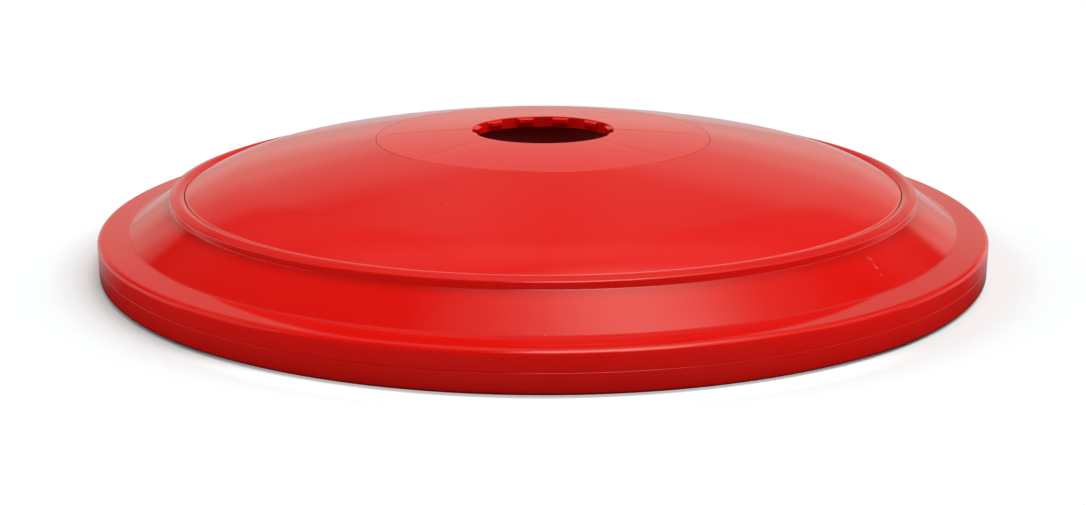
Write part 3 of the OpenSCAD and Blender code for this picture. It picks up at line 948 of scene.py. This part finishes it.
def gloss_plastic(name, base, rough, streak, scuffs=(), lines=0.0):
    """Glossy moulded plastic. Colour: base, a little deeper along the flow streaks, paler in specks
    and in scuffs, a painted highlight along the dome's edge, and painted shade, dark, in the corner
    under the bead and in the hollow under the hole. Roughness: smudges, specks and scuffs add to it,
    and the hollow is matt. Bump: the moulded skin and, on the rim, level lines."""
    finish, tree, shader, position = new_finish(name)
    streaks = use(tree, flow_streaks, {"Position": position})["Mask"]
    specks = use(tree, dust_specks, {"Position": position})["Mask"]
    smudge = use(tree, handling, {"Position": position})["Smudge"]
    # Masks of the painted shade in the corner under the bead and the painted highlight on the dome's
    # edge
    rings = use(tree, corner, {"Position": position})
    # Mask of the painted shade in the hollow under the hole
    inside = use(tree, hollow, {"Position": position})["Mask"]
    marks = sums(tree, "MULTIPLY", specks, SPECK_SHARE)
    for start, end, width in scuffs:
        inputs = {"Position": position, "Start": start, "End": end, "Width": width}
        mark = use(tree, scuff, inputs)["Mask"]
        marks = sums(tree, "MAXIMUM", marks, sums(tree, "MULTIPLY", mark, SCUFF_SHARE))
    colour = mixed(tree, sums(tree, "MULTIPLY", streaks, streak), base, STREAK_COLOUR)
    colour = mixed(tree, marks, colour, WORN_AND_HIGHLIGHT_COLOUR)
    # Painted highlight along the dome's edge, in the pale colour of the scuffs
    colour = mixed(tree, sums(tree, "MULTIPLY", rings["Edge Highlight"], EDGE_HIGHLIGHT_SHARE), colour, WORN_AND_HIGHLIGHT_COLOUR)
    # Painted shade in the corner under the bead
    colour = mixed(tree, sums(tree, "MULTIPLY", rings["Mask"], CORNER_SHADE_SHARE), colour, CORNER_SHADE_COLOUR)
    # Painted shade in the hollow under the hole
    colour = mixed(tree, inside, colour, HOLLOW_SHADE_COLOUR)
    tree.links.new(colour, shader.inputs["Base Color"])
    roughness = sums(tree, "ADD", rough, sums(tree, "MULTIPLY", smudge, SMUDGE_ROUGHNESS))
    roughness = sums(tree, "ADD", roughness, sums(tree, "MULTIPLY", marks, MARK_ROUGHNESS))
    roughness = sums(tree, "MAXIMUM", roughness, sums(tree, "MULTIPLY", inside, HOLLOW_ROUGHNESS))
    tree.links.new(roughness, shader.inputs["Roughness"])
    height = use(tree, moulded_skin, {"Position": position})["Height"]
    if lines:
        ring = use(tree, ring_lines, {"Position": position})["Mask"]
        height = sums(tree, "ADD", height, sums(tree, "MULTIPLY", ring, lines))
    bump = add(tree, "ShaderNodeBump", {"Height": height, "Strength": 1.0, "Distance": SKIN_DEPTH})
    tree.links.new(bump.outputs[0], shader.inputs["Normal"])
    shader.inputs["IOR"].default_value = 1.5
    return finish


def rubber_finish():
    """Matt black rubber: a fine grain, paler where dust sits in it."""
    finish, tree, shader, position = new_finish("foot_rubber")
    grain = noise_at(tree, position, 2400.0, 3.0)[0]
    dust = use(tree, handling, {"Position": position, "Smudge Scale": 160.0})["Smudge"]
    rubber, dusty = (0.012, 0.012, 0.013, 1.0), (0.05, 0.045, 0.042, 1.0)
    colour = mixed(tree, sums(tree, "MULTIPLY", dust, 0.5), rubber, dusty)
    tree.links.new(colour, shader.inputs["Base Color"])
    tree.links.new(ramp(tree, grain, 0.3, 0.7, 0.62, 0.82), shader.inputs["Roughness"])
    bump = add(tree, "ShaderNodeBump", {"Height": grain, "Strength": 0.6, "Distance": 0.00008})
    tree.links.new(bump.outputs[0], shader.inputs["Normal"])
    return finish


def iron_finish():
    """Cast iron: a sandy skin with darker pits and a little rust in the hollows."""
    finish, tree, shader, position = new_finish("ballast_iron")
    sand = noise_at(tree, position, 1100.0, 5.0)[0]
    patches = noise_at(tree, position, 90.0, 4.0)[0]
    iron, rust = (0.075, 0.075, 0.08, 1.0), (0.13, 0.075, 0.05, 1.0)
    colour = mixed(tree, ramp(tree, patches, 0.5, 0.75), iron, rust)
    tree.links.new(colour, shader.inputs["Base Color"])
    tree.links.new(ramp(tree, sand, 0.3, 0.7, 0.5, 0.75), shader.inputs["Roughness"])
    tree.links.new(ramp(tree, patches, 0.5, 0.75, 0.85, 0.35), shader.inputs["Metallic"])
    bump = add(tree, "ShaderNodeBump", {"Height": sand, "Strength": 0.8, "Distance": 0.0002})
    tree.links.new(bump.outputs[0], shader.inputs["Normal"])
    return finish


def steel_finish():
    """Plated steel: bright, with a fine grain and duller smudges."""
    finish, tree, shader, position = new_finish("screw_steel")
    smudge = use(tree, handling, {"Position": position, "Smudge Scale": 400.0})["Smudge"]
    bright, dull = (0.62, 0.63, 0.65, 1.0), (0.46, 0.46, 0.46, 1.0)
    tree.links.new(mixed(tree, smudge, bright, dull), shader.inputs["Base Color"])
    tree.links.new(ramp(tree, smudge, 0.0, 1.0, 0.22, 0.42), shader.inputs["Roughness"])
    shader.inputs["Metallic"].default_value = 1.0
    fine = noise_at(tree, position, 3000.0, 2.0)[0]
    bump = add(tree, "ShaderNodeBump", {"Height": fine, "Strength": 0.3, "Distance": 0.00003})
    tree.links.new(bump.outputs[0], shader.inputs["Normal"])
    return finish


# Colour, roughness, share of the flow streaks, scuffs, share of the level lines
plate_red = gloss_plastic("plate_red", PLATE_COLOUR, 0.12, 0.3)
dome_red = gloss_plastic("dome_red", DOME_COLOUR, 0.07, 0.15)
# The skirt and pan take the rim's deeper red, which is painted shade
skirt_red = gloss_plastic("skirt_red", RIM_SHADED_COLOUR, 0.06, 0.1, SLOPE_SCUFFS, 0.5)
pan_red = gloss_plastic("pan_red", RIM_SHADED_COLOUR, 0.08, 0.1, (), 0.5)
foot_rubber = rubber_finish()

# The pieces
plate_shells = [centre_plate_surface(), turned(collar_outline())]
hook_half = np.degrees(np.arcsin(HOOK_W / 2 / (PLATE_R - LEDGE_W - FREE)))
for k in range(8):
    plate_shells.append(radial_rib(plate_rib_outline(), 45 * k))
    plate_shells.append(turned_part(hook_outline(), 22.5 + 45 * k, hook_half))
piece("plate_shell", plate_shells, plate_red, ["centre_plate"])

dome_shells = [turned(held(dome_outline()))]
for k in range(12):
    dome_shells.append(radial_rib(dome_rib_outline(), 30 * k))
for k in range(6):
    dome_shells.append(boss_surface(60 * k))
piece("dome_shell", dome_shells, dome_red, ["dome_panel"])

piece("skirt_shell", [turned(held(skirt_outline()))], skirt_red, ["skirt_ring"])
piece("pan_shell", pan_surfaces() + pan_ribs(), pan_red, ["base_pan"])
for k in range(6):
    piece(f"rubber_foot_{k + 1}", [foot_surface(k)], foot_rubber, [f"foot_pad_{k + 1}"])

for node, finish in (("ballast_ring", iron_finish()), ("base_screws", steel_finish())):
    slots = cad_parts[node].data.materials
    slots.clear()
    slots.append(finish)


# Floor, light and camera


def make_soft_panel():
    """A soft-edged panel of light on the sky: full between two heights and within half a width of
    an azimuth, in degrees, fading over a margin on every side."""
    tree, entry, out = effect(
        "soft_panel",
        [
            ("Azimuth", FLOAT, 0.0),
            ("Elevation", FLOAT, 0.0),
            ("Centre", FLOAT, 0.0),
            ("Half Width", FLOAT, 20.0),
            ("Low", FLOAT, 0.0),
            ("High", FLOAT, 20.0),
            ("Margin", FLOAT, 4.0),
            ("Light", FLOAT, 1.0),
        ],
        [("Light", FLOAT)],
    )
    turn = sums(tree, "WRAP", sums(tree, "SUBTRACT", entry["Azimuth"], entry["Centre"]), 180.0, -180.0)
    aside = sums(tree, "SUBTRACT", sums(tree, "ABSOLUTE", turn), entry["Half Width"])
    over = sums(tree, "SUBTRACT", entry["Elevation"], entry["High"])
    below = sums(tree, "SUBTRACT", entry["Low"], entry["Elevation"])
    light = entry["Light"]
    for gap in (aside, over, below):
        share = sums(tree, "DIVIDE", gap, entry["Margin"])
        light = sums(tree, "MULTIPLY", light, ramp(tree, share, -1.0, 1.0, 1.0, 0.0))
    tree.links.new(light, out["Light"])
    return tree


def make_studio(panels, spot, backdrop):
    """The world: soft panels of light and one round soft light, and plain white where the camera
    looks. Reflections see a share of each panel, with a little less blue."""
    world = bpy.data.worlds.new("studio")
    bpy.context.scene.world = world
    world.use_nodes = True
    tree = world.node_tree
    tree.nodes.clear()
    soft_panel = make_soft_panel()
    way = add(tree, "ShaderNodeTexCoord").outputs["Generated"]
    split = add(tree, "ShaderNodeSeparateXYZ", {"Vector": way}).outputs
    azimuth = sums(tree, "DEGREES", sums(tree, "ARCTAN2", split["X"], split["Y"]))
    elevation = sums(tree, "DEGREES", sums(tree, "ARCSINE", split["Z"]))
    turn, rise, reach, light = spot
    turn, rise = np.radians(turn), np.radians(rise)
    lamp = (np.cos(rise) * np.sin(turn), np.cos(rise) * np.cos(turn), np.sin(rise))
    off = sums(tree, "DEGREES", sums(tree, "ARCCOSINE", dotted(tree, way, lamp)))
    light = ramp(tree, off, 0.0, reach, light, 0.0)
    mirrored = light
    names = ("Centre", "Half Width", "Low", "High", "Margin", "Light")
    for *values, seen in panels:
        inputs = dict(zip(names, values), Azimuth=azimuth, Elevation=elevation)
        given = use(tree, soft_panel, inputs)["Light"]
        light = sums(tree, "ADD", light, given)
        if seen:
            mirrored = sums(tree, "ADD", mirrored, sums(tree, "MULTIPLY", given, seen))
    rays = add(tree, "ShaderNodeLightPath").outputs
    light = add(tree, "ShaderNodeMix", {0: rays["Is Glossy Ray"], 2: light, 3: mirrored}).outputs[0]
    tint = mixed(tree, rays["Is Glossy Ray"], (1.0, 1.0, 1.0, 1.0), MIRRORED_TINT)
    room = add(tree, "ShaderNodeBackground", {"Color": tint, "Strength": light})
    plain = add(tree, "ShaderNodeBackground", {"Color": (1.0, 1.0, 1.0, 1.0), "Strength": backdrop})
    shaders = {0: rays["Is Camera Ray"], 1: room.outputs[0], 2: plain.outputs[0]}
    both = add(tree, "ShaderNodeMixShader", shaders)
    add(tree, "ShaderNodeOutputWorld", {"Surface": both.outputs[0]})


def make_floor(size, white, bounce, front, back):
    """A level floor, white to the camera and free of the disc's red. The light that it gives back is
    dim close round the rim and rises outwards. Reflections show it dark in front of the disc and
    pale behind it. A little plain light, for the camera only, fills the gap in front under the rim."""
    mesh = bpy.data.meshes.new("floor")
    s = size / 2
    mesh.from_pydata([(-s, -s, 0), (s, -s, 0), (s, s, 0), (-s, s, 0)], [], [(0, 1, 2, 3)])
    floor = bpy.data.objects.new("floor", mesh)
    bpy.context.scene.collection.objects.link(floor)
    finish = bpy.data.materials.new("floor_paper")
    finish.use_nodes = True
    tree = finish.node_tree
    shader = tree.nodes["Principled BSDF"]
    shader.inputs["Roughness"].default_value = 0.9
    shader.inputs["Specular IOR Level"].default_value = 0.0
    position = add(tree, "ShaderNodeTexCoord").outputs["Object"]
    radius = cylinder_parts(tree, position)[0]
    depth = add(tree, "ShaderNodeSeparateXYZ", {"Vector": position}).outputs["Y"]
    given = ramp(tree, radius, *BOUNCE_BAND, BOUNCE_LEAST, bounce)
    seen = ramp(tree, depth, *MIRRORED_BAND, front, back)
    rays = add(tree, "ShaderNodeLightPath").outputs
    grey = add(tree, "ShaderNodeMix", {0: rays["Is Glossy Ray"], 2: given, 3: seen}).outputs[0]
    near = ramp(tree, radius, *COOL_BAND, 1.0, 0.0)
    cool = (white, white * COOL_SHARE, white * COOL_SHARE, 1.0)
    paper = mixed(tree, near, (white, white, white, 1.0), cool)
    grey = mixed(tree, rays["Is Camera Ray"], grey, paper)
    tree.links.new(grey, shader.inputs["Base Color"])
    fill = ramp(tree, radius, *FILL_BAND, FILL_LIGHT, 0.0)
    fill = sums(tree, "MULTIPLY", fill, ramp(tree, depth, *FILL_DEPTH, 1.0, 0.0))
    fill = sums(tree, "MULTIPLY", fill, rays["Is Camera Ray"])
    shader.inputs["Emission Color"].default_value = FILL_COLOUR
    tree.links.new(fill, shader.inputs["Emission Strength"])
    mesh.materials.append(finish)


# Centre, half width, low, high and margin of each panel in degrees, its light, and its share in
# reflections: azimuth 0 is away from the camera and grows to the right. The strong side panels have
# small shares, so that they light the red without a glare on it
PANELS = [
    (0.0, 36.0, -20.0, 12.0, 7.0, 0.41, 1.0),
    (8.0, 34.0, -20.0, 16.0, 2.0, 0.05, 1.0),
    (0.0, 36.0, 3.0, 21.5, 5.0, 0.16, 1.0),
    (-1.0, 33.0, 13.0, 26.5, 3.0, 0.18, 1.0),
    (-58.0, 25.0, -20.0, 20.3, 1.3, 0.20, 1.0),
    (-58.0, 25.0, -20.0, 12.0, 4.0, 0.22, 1.0),
    (58.0, 25.0, -20.0, 16.3, 1.3, 0.28, 1.0),
    (58.0, 25.0, -20.0, 11.0, 4.0, 0.26, 1.0),
    (0.0, 11.0, 20.0, 63.0, 6.5, 0.18, 1.0),
    (27.0, 19.0, 23.0, 57.0, 7.5, 0.14, 1.0),
    (-26.0, 19.0, 27.0, 68.0, 10.0, 0.17, 1.0),
    (9.0, 60.0, 50.5, 76.0, 7.5, 0.22, 1.0),
    (38.0, 31.0, 43.0, 79.0, 8.5, 0.09, 1.0),
    (-84.0, 26.5, 8.0, 46.5, 2.0, 2.23, 0.15),
    (80.0, 26.5, 9.5, 41.5, 2.0, 1.64, 0.15),
    (99.0, 32.0, 33.0, 84.0, 2.5, 2.86, 0.15),
    (-82.0, 31.0, 36.5, 73.5, 5.0, 0.04, 1.0),
    (180.0, 180.0, 75.0, 100.0, 7.5, 0.54, 1.0),
    (110.0, 40.0, 62.0, 86.0, 10.0, 0.2, 10.0),
    (160.0, 30.0, 49.0, 86.0, 10.0, 4.0, 1.1),
    (205.0, 60.0, 12.0, 57.0, 5.0, 0.25, 0.0),
]
# Azimuth, elevation, reach and light of the round soft light
SPOT = (52.0, 75.0, 21.0, 1.7)
MIRRORED_TINT = (1.0, 1.0, 0.88, 1.0)
BACKDROP = 0.983
make_studio(PANELS, SPOT, BACKDROP)

# Floor, in metres: its side, and the radii or depths over which one value goes over to the next
FLOOR_SIDE = 6.0
BOUNCE_BAND = (0.101, 0.114)
MIRRORED_BAND = (-0.045, 0.005)
COOL_BAND = (0.13, 0.2)
FILL_BAND = (0.1005, 0.106)
FILL_DEPTH = (-0.096, -0.07)
# Its white, how much light it gives back at the rim and far off, its greys in reflections in front
# and behind, how much less red it is near the disc, and the fill's light and colour
FLOOR_WHITE = 0.88
BOUNCE_LEAST = 0.03
BOUNCE_MOST = 0.95
MIRRORED_FRONT = 0.03
MIRRORED_BACK = 0.5
COOL_SHARE = 1.045
FILL_LIGHT = 0.5
FILL_COLOUR = (1.0, 0.97, 0.96, 1.0)
make_floor(FLOOR_SIDE, FLOOR_WHITE, BOUNCE_MOST, MIRRORED_FRONT, MIRRORED_BACK)

# Camera, fitted to the ellipses in the photograph: lens in millimetres, place in metres, tilt in
# degrees
LENS = 51.987
CAMERA_AT = (0.0, -0.353997, 0.096372)
CAMERA_TILT = 74.57
bpy.context.scene.view_settings.view_transform = "Standard"
lens = bpy.data.cameras.new("view")
lens.sensor_width = 36.0
lens.lens = LENS
lens.clip_start = 0.01
camera = bpy.data.objects.new("view", lens)
camera.location = CAMERA_AT
camera.rotation_euler = (np.radians(CAMERA_TILT), 0.0, 0.0)
bpy.context.scene.collection.objects.link(camera)
bpy.context.scene.camera = camera
